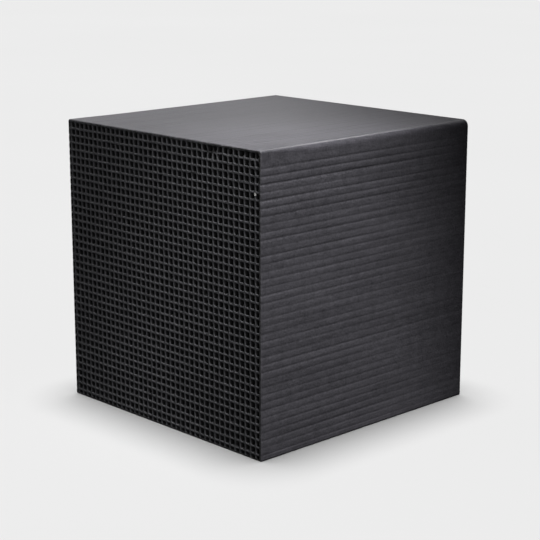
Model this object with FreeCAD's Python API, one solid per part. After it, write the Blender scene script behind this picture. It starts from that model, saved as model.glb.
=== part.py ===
import FreeCAD, Part
import math
import os

# Extruded activated-carbon honeycomb block, in millimetres.
#
# Frame: +Z up, origin at the centre of the base, channels along Y. The inlet face, cut square, is at
# Y = -DEPTH / 2 and the outlet face is at Y = +DEPTH / 2.
#
# The real block leaves its die as one body of carbon. Its walls are kept here as separate solids that
# touch and never overlap: four skins mitred at the long edges, and two families of webs that cross as
# half laps. Together they fill exactly the walls of the block and leave every channel open.

# Driving dimensions
WIDTH = 100.0            # over the skins, along X
DEPTH = 101.5            # length of the channels, along Y
HEIGHT = 102.4           # over the skins, along Z
CELLS_ACROSS = 40        # channels side by side along X
CELLS_UP = 40            # channels one above another along Z
PITCH_ACROSS = 2.52      # web centre to web centre along X
PITCH_UP = 2.56          # web centre to web centre along Z
WEB = 0.65               # thickness of a web
TOP_SKIN = 0.95          # thickness of the outer wall at +Z
BOTTOM_SKIN = 0.5        # thickness of the outer wall at the base
LEFT_SKIN = 0.5          # thickness of the outer wall at -X
RIGHT_SKIN = 1.0         # thickness of the outer wall at +X
OFF_CENTRE_X = -0.6      # how far the web pattern sits off the middle, along X
OFF_CENTRE_Z = -0.6      # how far the web pattern sits off the middle, along Z
CORNER_RADIUS = 1.2      # outer radius of the four long edges
GROOVE = 0.07            # depth of the grooves that part the ridges of a ridged skin


def web_centres(cells, pitch, middle=0.0):
    """Centres of one family of webs, evenly pitched about the middle of the pattern."""
    webs = cells - 1
    return [middle + pitch * (index - (webs - 1) / 2) for index in range(webs)]


def arc_through(start, middle, end):
    """Circular edge through three points."""
    return Part.Arc(start, middle, end).toShape()


def ridges(span, grooves):
    """Outer line of a ridged skin, from -span / 2 to +span / 2: a shallow arch between grooves.

    A ridge lies over each row of channels, and a groove lies over each web, where the skin sinks as it
    dries. The crests are at the block's full size.
    """
    valleys = [FreeCAD.Vector(place, 0, -GROOVE) for place in grooves]
    edges = []
    for left, right in zip(valleys, valleys[1:]):
        crest = FreeCAD.Vector((left.x + right.x) / 2, 0, 0)
        edges.append(arc_through(left, crest, right))

    # Half a ridge runs from each rounded long edge down to the groove next to it.
    first, last = valleys[0], valleys[-1]
    start = FreeCAD.Vector(-span / 2, 0, 0)
    end = FreeCAD.Vector(span / 2, 0, 0)
    rise = FreeCAD.Vector((start.x + first.x) / 2, 0, -GROOVE / 4)
    fall = FreeCAD.Vector((last.x + end.x) / 2, 0, -GROOVE / 4)
    return [arc_through(start, rise, first)] + edges + [arc_through(last, fall, end)]


def skin(length, thickness, left_thickness, right_thickness, grooves):
    """One outer wall lying flat, its outer side up at Z = 0, mitred against the walls beside it."""

    def on_corner(side, degrees):
        """Point of the rounded edge, by its angle from the outward direction of this wall."""
        angle = math.radians(degrees)
        across = length / 2 - CORNER_RADIUS + CORNER_RADIUS * math.sin(angle)
        up = -CORNER_RADIUS + CORNER_RADIUS * math.cos(angle)
        return FreeCAD.Vector(side * across, 0, up)

    inner_left = FreeCAD.Vector(-length / 2 + left_thickness, 0, -thickness)
    inner_right = FreeCAD.Vector(length / 2 - right_thickness, 0, -thickness)
    flat_span = length - 2 * CORNER_RADIUS
    if grooves:
        outer = ridges(flat_span, grooves)
    else:
        outer = [Part.makeLine(on_corner(-1, 0), on_corner(1, 0))]

    edges = [arc_through(on_corner(-1, 45), on_corner(-1, 22.5), on_corner(-1, 0))]
    edges += outer
    edges.append(arc_through(on_corner(1, 0), on_corner(1, 22.5), on_corner(1, 45)))
    edges.append(Part.makeLine(on_corner(1, 45), inner_right))
    edges.append(Part.makeLine(inner_right, inner_left))
    edges.append(Part.makeLine(inner_left, on_corner(-1, 45)))

    wall = Part.Face(Part.Wire(edges)).extrude(FreeCAD.Vector(0, DEPTH, 0))
    wall.translate(FreeCAD.Vector(0, -DEPTH / 2, 0))
    return wall


def web(length, crossings, lap_end):
    """One web lying flat, centred on the origin, slotted from lap_end to mid-depth at each crossing.

    lap_end is -1 for slots that open at the inlet face and +1 for slots that open at the outlet face.
    """
    open_end = lap_end * DEPTH / 2
    outline = [(-length / 2, -open_end), (-length / 2, open_end)]
    for place in crossings:
        near, far = place - WEB / 2, place + WEB / 2
        outline += [(near, open_end), (near, 0), (far, 0), (far, open_end)]
    outline += [(length / 2, open_end), (length / 2, -open_end)]

    corners = [FreeCAD.Vector(across, along, -WEB / 2) for across, along in outline]
    corners.append(corners[0])
    return Part.Face(Part.makePolygon(corners)).extrude(FreeCAD.Vector(0, 0, WEB))


def placed(shape, quarter_turns, x, z):
    """Copy of a shape, turned about the channel direction and moved to its place in the block."""
    copy = shape.copy()
    copy.rotate(FreeCAD.Vector(0, 0, 0), FreeCAD.Vector(0, 1, 0), 90 * quarter_turns)
    copy.translate(FreeCAD.Vector(x, 0, z))
    return copy


def skins():
    """The four outer walls. The base is flat: the wet block dries standing on a smooth carrier."""
    columns = web_centres(CELLS_ACROSS, PITCH_ACROSS, OFF_CENTRE_X)
    rows = web_centres(CELLS_UP, PITCH_UP, OFF_CENTRE_Z)
    rows_from_top = [-z for z in reversed(rows)]
    top = skin(WIDTH, TOP_SKIN, LEFT_SKIN, RIGHT_SKIN, columns)
    bottom = skin(WIDTH, BOTTOM_SKIN, RIGHT_SKIN, LEFT_SKIN, [])
    right = skin(HEIGHT, RIGHT_SKIN, TOP_SKIN, BOTTOM_SKIN, rows_from_top)
    left = skin(HEIGHT, LEFT_SKIN, BOTTOM_SKIN, TOP_SKIN, rows)
    return {
        "top_skin": placed(top, 0, 0, HEIGHT),
        "bottom_skin": placed(bottom, 2, 0, 0),
        "right_skin": placed(right, 1, WIDTH / 2, HEIGHT / 2),
        "left_skin": placed(left, -1, -WIDTH / 2, HEIGHT / 2),
    }


def webs():
    """Both families of webs: each is whole over half of the depth and slotted over the other half."""
    columns = web_centres(CELLS_ACROSS, PITCH_ACROSS, OFF_CENTRE_X)
    rows = web_centres(CELLS_UP, PITCH_UP, OFF_CENTRE_Z)

    # The middle of the space between the skins, measured from the middle of the block
    middle_x = (LEFT_SKIN - RIGHT_SKIN) / 2
    middle_z = (BOTTOM_SKIN - TOP_SKIN) / 2

    upright = web(HEIGHT - TOP_SKIN - BOTTOM_SKIN, [z - middle_z for z in rows], 1)
    level = web(WIDTH - LEFT_SKIN - RIGHT_SKIN, [x - middle_x for x in columns], -1)
    uprights = [placed(upright, -1, x, HEIGHT / 2 + middle_z) for x in columns]
    levels = [placed(level, 0, middle_x, HEIGHT / 2 + z) for z in rows]
    return {"vertical_webs": Part.Compound(uprights), "horizontal_webs": Part.Compound(levels)}


def main():
    os.makedirs("parts", exist_ok=True)
    nodes = {**skins(), **webs()}
    for name, shape in nodes.items():
        if not shape.isValid():
            raise ValueError(name + " is not a valid shape")
        shape.exportStep(os.path.join("parts", name + ".step"))
        print(name, len(shape.Solids), "solids", round(shape.Volume / 1000, 2), "cm3")


main()
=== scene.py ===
import math
import random

import bmesh
import bpy
import numpy as np
from mathutils import Matrix, Vector, noise


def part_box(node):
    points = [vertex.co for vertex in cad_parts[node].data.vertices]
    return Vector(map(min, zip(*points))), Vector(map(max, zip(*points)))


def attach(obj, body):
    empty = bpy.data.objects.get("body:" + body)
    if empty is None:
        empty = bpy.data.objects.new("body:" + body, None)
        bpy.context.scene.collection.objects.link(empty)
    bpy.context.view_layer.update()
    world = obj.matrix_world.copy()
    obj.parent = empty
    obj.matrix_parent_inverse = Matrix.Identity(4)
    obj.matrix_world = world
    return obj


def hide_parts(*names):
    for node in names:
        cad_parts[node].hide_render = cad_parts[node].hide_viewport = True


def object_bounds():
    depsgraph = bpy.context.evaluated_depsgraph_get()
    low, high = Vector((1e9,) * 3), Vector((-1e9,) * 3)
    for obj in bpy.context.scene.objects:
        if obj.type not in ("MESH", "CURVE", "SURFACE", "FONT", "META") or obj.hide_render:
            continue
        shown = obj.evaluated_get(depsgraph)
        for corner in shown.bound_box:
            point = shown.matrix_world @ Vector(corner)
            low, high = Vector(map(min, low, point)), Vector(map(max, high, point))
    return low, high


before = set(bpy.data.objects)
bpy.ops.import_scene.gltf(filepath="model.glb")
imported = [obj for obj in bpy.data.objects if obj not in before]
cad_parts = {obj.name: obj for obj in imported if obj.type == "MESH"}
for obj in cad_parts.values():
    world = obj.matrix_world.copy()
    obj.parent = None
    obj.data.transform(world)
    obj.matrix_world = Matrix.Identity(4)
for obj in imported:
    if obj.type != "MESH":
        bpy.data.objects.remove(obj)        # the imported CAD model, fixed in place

# The looks of an extruded activated-carbon honeycomb block. Two pieces stand for the CAD walls: the ridged
# outer skin, and the lattice of webs with every channel open from cut face to cut face. All in metres.

CAD_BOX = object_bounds()
LOW, HIGH = CAD_BOX
MM = 0.001

# Sizes that come with the frame
HALF_WIDTH = (HIGH.x - LOW.x) / 2
HALF_DEPTH = (HIGH.y - LOW.y) / 2
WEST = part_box("left_skin")[1].x          # inner sides of the four outer walls
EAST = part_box("right_skin")[0].x
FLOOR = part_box("bottom_skin")[1].z
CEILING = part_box("top_skin")[0].z

# Sizes that the frame's boxes don't say, the same as in the CAD model
CELLS = 40                   # channels each way
WEB = 0.65 * MM              # thickness of a web

# The lattice reaches this far into the skin, so that the outer channels have all four walls in one piece
LINER = 0.15 * MM


def web_centres(low, high):
    """Centres of one family of webs, from the outer sides of its first and last web."""
    pitch = (high - low - WEB) / (CELLS - 2)
    return [low + WEB / 2 + pitch * index for index in range(CELLS - 1)]


COLUMNS = web_centres(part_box("vertical_webs")[0].x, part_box("vertical_webs")[1].x)
ROWS = web_centres(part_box("horizontal_webs")[0].z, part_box("horizontal_webs")[1].z)


# ---------------------------------------------------------------- shader nodes

def new_material(name):
    """An empty node material and its tree."""
    material = bpy.data.materials.new(name)
    material.use_nodes = True
    material.node_tree.nodes.clear()
    return material, material.node_tree


def add(tree, kind, inputs=None, **settings):
    """Adds a shader node. An input is a plain value, or a socket to link from."""
    node = tree.nodes.new(kind)
    for key, value in settings.items():
        setattr(node, key, value)
    for key, value in (inputs or {}).items():
        if isinstance(value, bpy.types.NodeSocket):
            tree.links.new(value, node.inputs[key])
        else:
            node.inputs[key].default_value = value
    return node


def object_place(tree):
    """The place of a point on its object."""
    return add(tree, "ShaderNodeTexCoord").outputs["Object"]


def split(tree, place):
    """The X, Y and Z of a point."""
    parts = add(tree, "ShaderNodeSeparateXYZ", {0: place})
    return parts.outputs["X"], parts.outputs["Y"], parts.outputs["Z"]


def stretched(tree, place, scale):
    """A place scaled per axis, for grain that follows one direction."""
    return add(tree, "ShaderNodeMapping", {"Vector": place, "Scale": scale}).outputs["Vector"]


def noise_value(tree, place, scale, detail=2.0, roughness=0.5):
    """The value of a noise texture. The scale is in features per metre."""
    inputs = {"Vector": place, "Scale": scale, "Detail": detail, "Roughness": roughness}
    return add(tree, "ShaderNodeTexNoise", inputs).outputs["Fac"]


def remap(tree, value, low, high, to_low=0.0, to_high=1.0):
    """A value moved from one range to another, clamped."""
    inputs = {"Value": value, "From Min": low, "From Max": high, "To Min": to_low, "To Max": to_high}
    return add(tree, "ShaderNodeMapRange", inputs).outputs["Result"]


def maths(tree, operation, first, second=0.0):
    """One arithmetic step."""
    return add(tree, "ShaderNodeMath", {0: first, 1: second}, operation=operation).outputs[0]


def weighted_sum(tree, *terms):
    """The sum of (value, weight) pairs."""
    total = maths(tree, "MULTIPLY", *terms[0])
    for value, weight in terms[1:]:
        total = maths(tree, "ADD", total, maths(tree, "MULTIPLY", value, weight))
    return total


def blend_colour(tree, factor, first, second):
    """A colour between two colours or sockets. A mix node takes its colours at 6 and 7 and gives one at 2."""
    return add(tree, "ShaderNodeMix", {0: factor, 6: first, 7: second}, data_type="RGBA").outputs[2]


def bump(tree, height, strength, distance, normal=None):
    """A bump from a height value, laid over an earlier one."""
    inputs = {"Height": height, "Strength": strength, "Distance": distance}
    if normal is not None:
        inputs["Normal"] = normal
    return add(tree, "ShaderNodeBump", inputs).outputs["Normal"]


def surface(tree, inputs):
    """The principled surface of a material."""
    shader = add(tree, "ShaderNodeBsdfPrincipled", inputs)
    add(tree, "ShaderNodeOutputMaterial", {"Surface": shader.outputs[0]})


# ---------------------------------------------------------------- materials

# Linear colours, a little bluish on the skin
SKIN_DARK, SKIN_LIGHT = (0.0225, 0.0217, 0.0252, 1), (0.0585, 0.0563, 0.0645, 1)
RIM_COLOUR = (0.010, 0.010, 0.010, 1)
SAWN_DARK, SAWN_LIGHT = (0.045, 0.045, 0.049, 1), (0.072, 0.072, 0.077, 1)
# Channel walls: darker than the sawn faces, partly their own tone and partly painted shade in the channels
SHADED_WALL_DARK, SHADED_WALL_LIGHT = (0.020, 0.020, 0.021, 1), (0.034, 0.034, 0.035, 1)
FLECK_COLOUR = (0.80, 0.80, 0.77, 1)
FLOOR_DARK, FLOOR_LIGHT = (0.80, 0.80, 0.80, 1), (0.81, 0.81, 0.81, 1)

WORN_WIDTH = 2.6 * MM        # burnished strip along the top edges, with its soft border
WORN_CORE = 2.0 * MM         # the part of it that is fully burnished
WORN_NEAR, WORN_FAR = 2 * MM, 20 * MM    # it grows over this stretch, measured from a cut face
WORN_ROUGHNESS = 0.30

# A pale spot on one web of the inlet face, a little below a crossing
FLECK_PLACE = (COLUMNS[-1], -HALF_DEPTH, ROWS[-5] - 0.6 * MM)
FLECK_CORE, FLECK_RADIUS = 0.45 * MM, 0.52 * MM


def cut_depth(tree, place):
    """How far a point lies from the nearer cut face."""
    _, along, _ = split(tree, place)
    return maths(tree, "SUBTRACT", HALF_DEPTH, maths(tree, "ABSOLUTE", along))


def rim_colour(tree, place):
    """The ragged sawn rim of the skin: dark, and paler on the +X wall and on top."""
    x, _, z = split(tree, place)
    beside, above = maths(tree, "SUBTRACT", x, EAST), maths(tree, "SUBTRACT", z, CEILING)
    east_or_top = remap(tree, maths(tree, "MAXIMUM", beside, above), -LINER, 0.0)
    ragged = remap(tree, noise_value(tree, place, scale=900.0, roughness=0.6), 0.40, 0.55)
    return blend_colour(tree, maths(tree, "MULTIPLY", east_or_top, ragged), RIM_COLOUR, SAWN_DARK)


def rim_mask(tree, place):
    """1 on the thin liner that lies against the skin, 0 on the webs."""
    x, _, z = split(tree, place)
    beside = maths(tree, "MAXIMUM", maths(tree, "SUBTRACT", x, EAST), maths(tree, "SUBTRACT", WEST, x))
    above = maths(tree, "MAXIMUM", maths(tree, "SUBTRACT", z, CEILING), maths(tree, "SUBTRACT", FLOOR, z))
    return remap(tree, maths(tree, "MAXIMUM", beside, above), -0.05 * MM, 0.0)


def worn_mask(tree, place):
    """1 on the long top edges, which handling has burnished, and less towards their ends."""
    x, _, z = split(tree, place)
    beside = remap(tree, maths(tree, "ABSOLUTE", x), HALF_WIDTH - WORN_WIDTH, HALF_WIDTH - WORN_CORE)
    high = remap(tree, z, HIGH.z - WORN_WIDTH, HIGH.z - WORN_CORE)
    away = remap(tree, cut_depth(tree, place), WORN_NEAR, WORN_FAR)
    return maths(tree, "MULTIPLY", maths(tree, "MULTIPLY", high, beside), away)


def skin_material():
    """Satin carbon skin: fine drag lines along the extrusion, fine grain, and a darker sawn rim."""
    material, tree = new_material("carbon_skin")
    place = object_place(tree)

    fine, coarse = stretched(tree, place, (1.0, 0.03, 1.0)), stretched(tree, place, (1.0, 0.12, 1.0))
    drag = noise_value(tree, fine, scale=2600.0, detail=3.0, roughness=0.6)
    streak = noise_value(tree, coarse, scale=230.0, detail=3.0, roughness=0.6)
    grain = noise_value(tree, place, scale=1400.0, detail=3.0, roughness=0.65)
    cloud = noise_value(tree, place, scale=300.0, detail=5.0, roughness=0.8)
    blotch = weighted_sum(tree, (streak, 0.18), (cloud, 0.34), (grain, 0.48))
    rim = remap(tree, cut_depth(tree, place), 0.01 * MM, 0.03 * MM, 1.0, 0.0)

    colour = blend_colour(tree, remap(tree, blotch, 0.38, 0.62), SKIN_DARK, SKIN_LIGHT)
    colour = blend_colour(tree, rim, colour, rim_colour(tree, place))
    roughness = remap(tree, blotch, 0.35, 0.65, 0.42, 0.56)
    roughness = remap(tree, worn_mask(tree, place), 0.0, 1.0, roughness, WORN_ROUGHNESS)
    roughness = maths(tree, "ADD", roughness, maths(tree, "MULTIPLY", rim, 0.25))

    normal = bump(tree, streak, strength=0.70, distance=0.25 * MM)
    normal = bump(tree, cloud, strength=0.50, distance=0.20 * MM, normal=normal)
    normal = bump(tree, drag, strength=0.45, distance=0.05 * MM, normal=normal)
    normal = bump(tree, grain, strength=0.70, distance=0.05 * MM, normal=normal)
    surface(tree, {"Base Color": colour, "Roughness": roughness, "Normal": normal, "IOR": 1.5})
    return material


def fleck_mask(tree, place):
    """1 on the pale spot."""
    apart = add(tree, "ShaderNodeVectorMath", {0: place, 1: FLECK_PLACE}, operation="DISTANCE")
    return remap(tree, apart.outputs["Value"], FLECK_CORE, FLECK_RADIUS, 1.0, 0.0)


def web_material():
    """Matte carbon of the webs: sawn and a little lighter on the cut faces, dark inside the channels and
    crumbled pits, partly the walls' own tone and partly painted shade.
    """
    material, tree = new_material("carbon_web")
    place = object_place(tree)
    # Darker with depth from a cut face: partly the walls' own tone, partly painted shade in the channels and
    # crumbled pits
    inside = remap(tree, cut_depth(tree, place), 0.05 * MM, 0.5 * MM)

    grain = noise_value(tree, place, scale=4200.0, detail=3.0, roughness=0.7)
    speckle = noise_value(tree, place, scale=1500.0, roughness=0.6)
    saw = noise_value(tree, stretched(tree, place, (0.05, 1.0, 1.0)), scale=3400.0)

    tone = remap(tree, speckle, 0.35, 0.68)
    sawn = blend_colour(tree, tone, SAWN_DARK, SAWN_LIGHT)
    walls = blend_colour(tree, tone, SHADED_WALL_DARK, SHADED_WALL_LIGHT)
    colour = blend_colour(tree, inside, sawn, walls)
    colour = blend_colour(tree, rim_mask(tree, place), colour, rim_colour(tree, place))
    colour = blend_colour(tree, fleck_mask(tree, place), colour, FLECK_COLOUR)
    roughness = remap(tree, grain, 0.3, 0.7, 0.62, 0.80)

    normal = bump(tree, saw, strength=0.35, distance=0.08 * MM)
    normal = bump(tree, grain, strength=0.5, distance=0.08 * MM, normal=normal)
    surface(tree, {"Base Color": colour, "Roughness": roughness, "Normal": normal, "IOR": 1.4})
    return material


def floor_material():
    """Matte pale paper."""
    material, tree = new_material("pale_floor")
    tone = remap(tree, noise_value(tree, object_place(tree), scale=3.0), 0.3, 0.7)
    colour = blend_colour(tree, tone, FLOOR_DARK, FLOOR_LIGHT)
    surface(tree, {"Base Color": colour, "Roughness": 0.9, "Specular IOR Level": 0.0})
    return material


# ---------------------------------------------------------------- mesh helpers

MERGE_DISTANCE = 1e-7        # points nearer than this are one point


def new_object(name, vertices, faces, material):
    """A mesh object from points and faces."""
    mesh = bpy.data.meshes.new(name)
    mesh.from_pydata([tuple(point) for point in vertices], [], [tuple(face) for face in faces])
    mesh.update()
    mesh.materials.append(material)
    piece = bpy.data.objects.new(name, mesh)
    bpy.context.scene.collection.objects.link(piece)
    return piece


def clean(piece):
    """Joins points that fall together at the inner corners and makes the faces look outward."""
    build = bmesh.new()
    build.from_mesh(piece.data)
    bmesh.ops.remove_doubles(build, verts=build.verts, dist=MERGE_DISTANCE)
    bmesh.ops.recalc_face_normals(build, faces=build.faces)
    build.to_mesh(piece.data)
    build.free()


def smooth(piece, degrees):
    """Shades a piece smooth, except across edges sharper than an angle."""
    piece.data.shade_smooth()
    piece.data.set_sharp_from_angle(angle=math.radians(degrees))


def eased(share):
    """A share from 0 to 1 with soft ends, clamped."""
    share = min(1.0, max(0.0, share))
    return share * share * (3.0 - 2.0 * share)


# ---------------------------------------------------------------- outer skin

GROOVE = 0.098 * MM          # depth of a groove of strength 1, where nothing has faded it yet
SIDE_STRENGTH = [0.85, 0.70] * 14 + [1.05, 1.35] * 5 + [0.12]    # from the base up, faint by the top edge
TOP_STRENGTHS = (0.1, 0.1, 0.5, 1.1)     # the top's grooves are faint, with a few strong ones
TOP_GAIN = (0.4, 0.8)        # they are stronger towards +X: the factor at -X, and how much it grows
UNEVEN = (0.70, 1.30)        # range of the chance factor on a groove's strength
ARCH_SHARE = 0.08            # how much of a groove's depth is the arch of the ridges, not the groove itself
FLANK = 0.180                # width of a groove's flank, as a share of the ridge
FADE_START = 35 * MM         # the grooves grow fainter from here, measured from the inlet face
FADE = 0.72                  # how much of their depth they lose by the outlet face

# How a groove strays along the channels: by how much, and over what length
BEND, BEND_LENGTH = 0.10 * MM, 42 * MM
RIPPLE, RIPPLE_LENGTH = 0.03 * MM, 9 * MM
SWELL, SWELL_LENGTH = 0.35, 35 * MM      # a share of its depth

# Where the points of a wall lie between two grooves, as shares of the gap: close together by the grooves
ACROSS_RIDGE = (0.0, 0.05, 0.11, 0.18, 0.28, 0.42, 0.58, 0.72, 0.82, 0.89, 0.95)

TOP_RADIUS = (0.8 * MM, 2.3 * MM)        # long top edges, at the inlet face and further on
ROUND_BY = 28 * MM           # where the top edges reach their full radius
BASE_RADIUS = 0.5 * MM       # long edges of the base
EDGE_BREAK = 0.20 * MM       # the worn rim where the skin meets a cut face
CORNER_STEPS = 8             # facets round each long edge
BASE_STEPS = 40              # facets across the flat base
DEPTH_STEPS = 54             # rings along the channels
SKIN_SHARP = 32              # edges that turn by more than this stay sharp, in degrees


def wander(along, seed, wavelength):
    """Smooth noise between -1 and 1 along a line. Each seed is a line of its own."""
    return noise.noise(Vector((along / wavelength, seed * 7.31, 0.0)))


class Groove:
    """One groove of a ridged wall: it wanders a little and its depth comes and goes."""

    def __init__(self, centre, seed, strength):
        self.centre = centre
        self.seed = seed
        self.strength = strength

    def place(self, along):
        bend = BEND * wander(along, self.seed, BEND_LENGTH)
        ripple = RIPPLE * wander(along, self.seed + 50, RIPPLE_LENGTH)
        return self.centre + bend + ripple

    def depth(self, along):
        swell = 1.0 + SWELL * wander(along, self.seed + 100, SWELL_LENGTH)
        fade = 1.0 - FADE * eased((along + HALF_DEPTH - FADE_START) / (2 * HALF_DEPTH - FADE_START))
        return GROOVE * self.strength * swell * fade


def groove_row(centres, seed, strengths):
    """The grooves of one wall, of uneven strength."""
    chance = random.Random(seed)
    return [Groove(centre, seed + index, strength * chance.uniform(*UNEVEN))
            for index, (centre, strength) in enumerate(zip(centres, strengths))]


def ridged_walls():
    """The grooves of the three ridged walls. The base is flat."""
    chance = random.Random(11)
    start, growth = TOP_GAIN
    top = [chance.choice(TOP_STRENGTHS) * (start + growth * index / CELLS) for index in range(CELLS - 1)]
    return {"right": groove_row(ROWS, 100, SIDE_STRENGTH), "left": groove_row(ROWS, 300, SIDE_STRENGTH),
            "top": groove_row(COLUMNS, 500, top)}


def wall_points(start, end, grooves, along):
    """(place, sunk depth) across one ridged wall at one place along the channels."""
    stations = [(start, 0.0)] + [(g.place(along), g.depth(along)) for g in grooves] + [(end, 0.0)]
    points = []
    for (left, left_depth), (right, right_depth) in zip(stations, stations[1:]):
        for share in ACROSS_RIDGE:
            edge = (1 - share) * left_depth + share * right_depth
            sag = edge * (1 - 4 * share * (1 - share))
            near_left = left_depth * math.exp(-(share / FLANK) ** 2)
            near_right = right_depth * math.exp(-((1 - share) / FLANK) ** 2)
            sunk = ARCH_SHARE * sag + (1 - ARCH_SHARE) * (near_left + near_right)
            points.append((left + (right - left) * share, sunk))
    points.append((end, 0.0))
    return points


def top_radius(along):
    """Radius of the long top edges: nearly square where the block was cut first, then soon well rounded."""
    first, full = TOP_RADIUS
    return first + (full - first) * eased((along + HALF_DEPTH) / ROUND_BY)


def skin_outline(along, walls, inset=0.0):
    """Closed outline of the skin at one place along the channels, anticlockwise seen from the inlet."""
    round_top = top_radius(along)
    base_reach, top_reach = HALF_WIDTH - BASE_RADIUS, HALF_WIDTH - round_top
    bottom, top = LOW.z + BASE_RADIUS, HIGH.z - round_top
    outline = []

    def corner(centre_x, centre_z, radius, first_angle):
        for step in range(1, CORNER_STEPS):
            angle = math.radians(first_angle + 90.0 * step / CORNER_STEPS)
            outline.append((centre_x + (radius - inset) * math.cos(angle),
                            centre_z + (radius - inset) * math.sin(angle)))

    for step in range(BASE_STEPS + 1):
        outline.append((-base_reach + 2 * base_reach * step / BASE_STEPS, LOW.z + inset))
    corner(base_reach, bottom, BASE_RADIUS, -90.0)
    for z, sunk in wall_points(bottom, top, walls["right"], along):
        outline.append((HIGH.x - sunk - inset, z))
    corner(top_reach, top, round_top, 0.0)
    for x, sunk in reversed(wall_points(-top_reach, top_reach, walls["top"], along)):
        outline.append((x, HIGH.z - sunk - inset))
    corner(-top_reach, top, round_top, 90.0)
    for z, sunk in reversed(wall_points(bottom, top, walls["left"], along)):
        outline.append((LOW.x + sunk + inset, z))
    corner(-base_reach, bottom, BASE_RADIUS, 180.0)
    return outline


def skin_ring(along, walls, inset=0.0):
    """The outline of the skin as points in space."""
    return [(x, along, z) for x, z in skin_outline(along, walls, inset)]


def inner_ring(outer):
    """An outer ring drawn in to the flat rectangle that the lattice fills."""
    return [(max(WEST - LINER, min(EAST + LINER, x)), y, max(FLOOR - LINER, min(CEILING + LINER, z)))
            for x, y, z in outer]


def make_skin(material):
    """The outer skin, a tube of ridged wall, open at both cut faces where the lattice shows."""
    walls = ridged_walls()
    reach = HALF_DEPTH - EDGE_BREAK
    rings = [skin_ring(-HALF_DEPTH, walls, EDGE_BREAK)]
    for step in range(DEPTH_STEPS + 1):
        rings.append(skin_ring(-reach + 2 * reach * step / DEPTH_STEPS, walls))
    rings.append(skin_ring(HALF_DEPTH, walls, EDGE_BREAK))
    rings += [inner_ring(rings[-1]), inner_ring(rings[0])]

    # The rings close on themselves: out along the outer side and back along the inner one
    count = len(rings[0])
    vertices = [point for ring in rings for point in ring]
    faces = []
    for ring in range(len(rings)):
        here, there = ring * count, ((ring + 1) % len(rings)) * count
        for k in range(count):
            after = (k + 1) % count
            faces.append((here + k, here + after, there + after, there + k))
    piece = new_object("outer_skin", vertices, faces, material)
    clean(piece)
    smooth(piece, SKIN_SHARP)
    return piece


# ---------------------------------------------------------------- lattice of webs

MOUTH = 0.10 * MM            # chamfer that handling leaves on the sawn channel mouths
JITTER = 0.015 * MM          # unevenness of a mouth
HOLE_CORNER = 0.28 * MM      # fillet in the corners of a channel
CORNER_ANGLES = (0.0, 45.0, 90.0)        # where its points lie
CORNER_POINTS = len(CORNER_ANGLES)
DEPTHS = (-HALF_DEPTH, -HALF_DEPTH + MOUTH, HALF_DEPTH - MOUTH, HALF_DEPTH)   # rings of a channel
LAST = len(DEPTHS) - 1
WEB_SHARP = 35               # edges that turn by more than this stay sharp, in degrees

SWAY = (0.024 * MM, 0.017 * MM)          # how far the crossings lie off true, across and up
LOOSE = 3.5                  # how many times further they lie off under the top skin, by the front corner
LOOSE_FROM = 0.6 * CELLS     # in the columns past this one

# Crumbled places in the sawn edge: how many, and the ranges of their radius and depth in millimetres
CHIPS, CHIP_RADIUS, CHIP_DEPTH = 60, (0.7, 1.4), (0.05, 0.22)
CORNER_CHIPS, CORNER_CHIP_RADIUS, CORNER_CHIP_DEPTH = 16, (0.9, 1.8), (0.3, 0.9)
CORNER_ACROSS = (0.45, 0.97)             # those by the top front corner lie here, as shares of the half width
CORNER_BELOW = (0.8, 3.6)                # and this far below the top
CHIP_SLOPE = 1.5             # the exponent by which their floor falls from the rim to the middle


def hole_outline(west, east, low, high, fillet):
    """Points round a square hole with rounded corners, anticlockwise from the low west corner."""
    centres = ((west + fillet, low + fillet, 180.0), (east - fillet, low + fillet, 270.0),
               (east - fillet, high - fillet, 0.0), (west + fillet, high - fillet, 90.0))
    points = []
    for x, z, first in centres:
        for turn in CORNER_ANGLES:
            angle = math.radians(first + turn)
            points.append((x + fillet * math.cos(angle), z + fillet * math.sin(angle)))
    return points


def crossing_sway(chance):
    """How far each crossing of the webs lies off its true place. Those on the skin stay in its plane."""
    across, up = SWAY
    sway = {}
    for i in range(CELLS + 1):
        for j in range(CELLS + 1):
            loose = LOOSE if j == CELLS - 1 and i > LOOSE_FROM else 1.0
            dx, dz = chance.gauss(0, across * loose), chance.gauss(0, up * loose)
            sway[i, j] = (dx if 0 < i < CELLS else 0.0, dz if 0 < j < CELLS else 0.0)
    return sway


def chips(chance):
    """(x, z, radius, depth) of the places where the sawn edge has crumbled, denser by the front corner."""
    places = []
    for _ in range(CHIPS):
        x = chance.uniform(-HALF_WIDTH, HALF_WIDTH)
        z = chance.uniform(LOW.z, HIGH.z)
        radius, depth = chance.uniform(*CHIP_RADIUS) * MM, chance.uniform(*CHIP_DEPTH) * MM
        places.append((x, z, radius, depth))
    for _ in range(CORNER_CHIPS):
        x = chance.uniform(*CORNER_ACROSS) * HALF_WIDTH
        z = HIGH.z - chance.uniform(*CORNER_BELOW) * MM
        radius, depth = chance.uniform(*CORNER_CHIP_RADIUS) * MM, chance.uniform(*CORNER_CHIP_DEPTH) * MM
        places.append((x, z, radius, depth))
    return places


def crumble(points, places):
    """Sinks the points near the inlet face where the sawn edge has crumbled."""
    near = points[:, 1] < -HALF_DEPTH + 2 * MOUTH
    for x, z, radius, depth in places:
        away = np.hypot(points[:, 0] - x, points[:, 2] - z) / radius
        inward = np.clip(1 - away, 0.0, None)
        points[:, 1] += np.where(near, depth * inward ** CHIP_SLOPE, 0.0)
    return points


def half_wall(index):
    """Half a web beside an inner line, or the liner beside the skin."""
    return LINER if index in (0, CELLS) else WEB / 2


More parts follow.
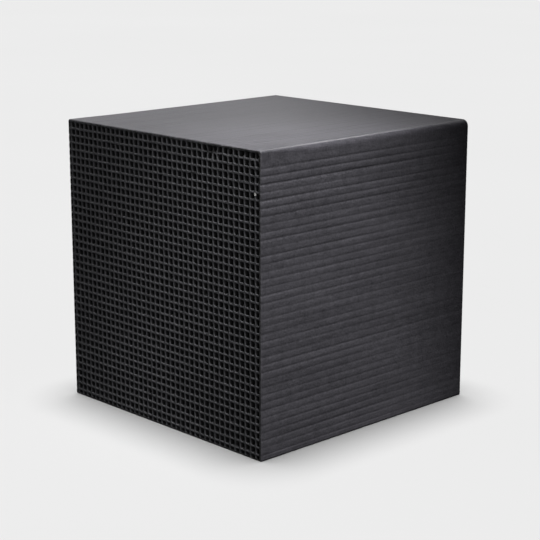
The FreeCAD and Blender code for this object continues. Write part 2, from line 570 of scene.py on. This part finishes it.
def make_lattice(material):
    """The webs: a block with every channel cut through it, its mouths a little uneven."""
    chance = random.Random(7)
    lines_x = [WEST - LINER] + COLUMNS + [EAST + LINER]
    lines_z = [FLOOR - LINER] + ROWS + [CEILING + LINER]
    sway = crossing_sway(chance)
    vertices, faces, crossing = [], [], {}

    for side in (0, LAST):
        for (i, j), (dx, dz) in sway.items():
            crossing[side, i, j] = len(vertices)
            vertices.append((lines_x[i] + dx, DEPTHS[side], lines_z[j] + dz))

    def channel(i, j):
        """One channel, and the flat faces round both of its mouths."""
        corners = ((i, j), (i + 1, j), (i + 1, j + 1), (i, j + 1))
        west, east = lines_x[i] + half_wall(i), lines_x[i + 1] - half_wall(i + 1)
        low, high = lines_z[j] + half_wall(j), lines_z[j + 1] - half_wall(j + 1)
        centre_x, centre_z = (west + east) / 2, (low + high) / 2
        outline = []
        for index, (x, z) in enumerate(hole_outline(west, east, low, high, HOLE_CORNER)):
            dx, dz = sway[corners[index // CORNER_POINTS]]
            outline.append((x + dx + chance.gauss(0, JITTER), z + dz + chance.gauss(0, JITTER)))

        first, count = len(vertices), len(outline)
        for ring, y in enumerate(DEPTHS):
            flare = 2 * MOUTH if ring in (0, LAST) else 0.0
            wide, tall = 1 + flare / (east - west), 1 + flare / (high - low)
            vertices.extend((centre_x + (x - centre_x) * wide, y, centre_z + (z - centre_z) * tall)
                            for x, z in outline)
        for ring in range(LAST):
            here = first + ring * count
            for k in range(count):
                after = (k + 1) % count
                faces.append((here + k, here + count + k, here + count + after, here + after))
        for side in (0, LAST):
            rim = first + side * count
            for c, corner in enumerate(corners):
                here, after = crossing[(side,) + corner], crossing[(side,) + corners[(c + 1) % 4]]
                start, middle, end = (rim + CORNER_POINTS * c + step for step in range(CORNER_POINTS))
                faces.append((here, middle, start))
                faces.append((here, end, middle))
                faces.append((here, after, rim + CORNER_POINTS * (c + 1) % count, end))

    for i in range(CELLS):
        for j in range(CELLS):
            channel(i, j)

    # The outer sides, which lie against the skin
    for k in range(CELLS):
        for here, after in (((k, 0), (k + 1, 0)), ((CELLS, k), (CELLS, k + 1)),
                            ((k + 1, CELLS), (k, CELLS)), ((0, k + 1), (0, k))):
            faces.append((crossing[(0,) + here], crossing[(LAST,) + here],
                          crossing[(LAST,) + after], crossing[(0,) + after]))

    piece = new_object("web_lattice", crumble(np.array(vertices), chips(chance)), faces, material)
    clean(piece)
    smooth(piece, WEB_SHARP)
    return piece


# ---------------------------------------------------------------- stage, lights, camera

FLOOR_REACH = 30.0           # wide enough to pass the top of the view

VIEW_AZIMUTH = 46.27         # degrees, from the inlet face towards +X
VIEW_ELEVATION = 13.62       # degrees above level
VIEW_DISTANCE = 0.5474
VIEW_TARGET = Vector((0.0040, -0.0028, 0.0484))
SENSOR, LENS = 36.0, 101.07  # millimetres


def make_floor():
    """A wide pale floor. The block doesn't reflect it, and no light bounces off it."""
    reach = FLOOR_REACH
    corners = [(-reach, -reach, 0), (reach, -reach, 0), (reach, reach, 0), (-reach, reach, 0)]
    floor = new_object("floor", corners, [(0, 1, 2, 3)], floor_material())
    floor.location.z = LOW.z
    floor.visible_glossy = False
    floor.visible_diffuse = False
    return floor


def placed_lamp(name, kind, place, aim, only):
    """A lamp of one kind that looks at a point and lights only one collection."""
    data = bpy.data.lights.new(name, kind)
    lamp = bpy.data.objects.new(name, data)
    lamp.location = place
    lamp.rotation_euler = (Vector(aim) - Vector(place)).to_track_quat("-Z", "Y").to_euler()
    lamp.light_linking.receiver_collection = only
    bpy.context.scene.collection.objects.link(lamp)
    return lamp


def sun(name, place, strength, width, only):
    """A wide light from one side of the sky, its width in degrees."""
    data = placed_lamp(name, "SUN", place, (0, 0, 0), only).data
    data.energy = strength
    data.angle = math.radians(width)


def soft_spot(name, place, aim, only, watts, cone=10, blend=1.0, radius=0.06):
    """A soft-edged spot, its cone in degrees."""
    data = placed_lamp(name, "SPOT", place, aim, only).data
    data.spot_size = math.radians(cone)
    data.spot_blend = blend
    data.shadow_soft_size = radius
    data.energy = watts


def softbox(name, place, aim, only, watts, size):
    """A square softbox."""
    lamp = placed_lamp(name, "AREA", place, aim, only)
    lamp.visible_camera = False
    lamp.data.shape = "SQUARE"
    lamp.data.size = size
    lamp.data.energy = watts


def receivers(name, *pieces):
    """A collection of the pieces that some lamps are kept to."""
    group = bpy.data.collections.new(name)
    for piece in pieces:
        group.objects.link(piece)
    return group


def make_lights(block, ground):
    """A wide light from above for the floor and the block's short shadow, and soft lights on the block."""
    sun("overhead", (-0.030, 0.029, 1), strength=3.28, width=24, only=ground)

    soft_spot("key", (0.35, -0.10, 0.80), (0.05, -0.04, 0.0), block, watts=66.9, cone=13, blend=0.5,
              radius=0.03)
    soft_spot("top_left", (-0.35, 0.0, 0.70), (-0.04, 0.0, 0.10), block, watts=120.9, radius=0.08)
    soft_spot("top_front", (0.10, -0.30, 0.80), (-0.02, -0.03, 0.10), block, watts=45.8, radius=0.08)
    soft_spot("back", (-0.50, 0.47, 0.26), (-0.03, -0.02, 0.10), block, watts=0.366, cone=13)
    soft_spot("back_left", (-0.62, 0.30, 0.28), (-0.04, 0.0, 0.10), block, watts=3.70)
    soft_spot("edge_high", (-0.20, 0.60, 0.85), (0.045, -0.035, 0.10), block, watts=10.86)
    soft_spot("edge_low", (-0.52, 0.73, 0.48), (0.05, 0.0, 0.10), block, watts=0.145, radius=0.04)
    softbox("side_fill", (0.50, -0.30, 0.20), (0.0, -0.02, 0.07), block, watts=0.50, size=0.2)
    softbox("outlet_fill", (-0.10, 0.55, 0.05), (0.0, 0.05, 0.05), block, watts=0.8, size=0.08)

    world = bpy.data.worlds.new("studio")
    world.use_nodes = True
    world.node_tree.nodes["Background"].inputs["Strength"].default_value = 0.0
    bpy.context.scene.world = world


def make_camera():
    """A view from a little above the block, turned towards its front edge."""
    azimuth, elevation = math.radians(VIEW_AZIMUTH), math.radians(VIEW_ELEVATION)
    back = Vector((math.sin(azimuth) * math.cos(elevation), -math.cos(azimuth) * math.cos(elevation),
                   math.sin(elevation)))
    right = Vector((math.cos(azimuth), math.sin(azimuth), 0))
    up = back.cross(right)
    data = bpy.data.cameras.new("camera")
    data.sensor_width = SENSOR
    data.lens = LENS
    data.clip_start = 0.01
    data.clip_end = 100.0
    camera = bpy.data.objects.new("camera", data)
    pose = Matrix((right, up, back)).transposed().to_4x4()
    pose.translation = VIEW_TARGET + back * VIEW_DISTANCE
    camera.matrix_world = pose
    bpy.context.scene.collection.objects.link(camera)
    bpy.context.scene.camera = camera


def main():
    bpy.context.scene.view_settings.view_transform = "Standard"
    make_camera()
    floor = make_floor()

    skin = make_skin(skin_material())
    skin.visible_diffuse = False         # so that its lamps throw no bounced light on the floor
    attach(skin, "root")
    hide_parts("top_skin", "bottom_skin", "right_skin", "left_skin")

    lattice = make_lattice(web_material())
    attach(lattice, "root")
    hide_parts("vertical_webs", "horizontal_webs")

    make_lights(receivers("block", skin, lattice), receivers("ground", floor))


main()
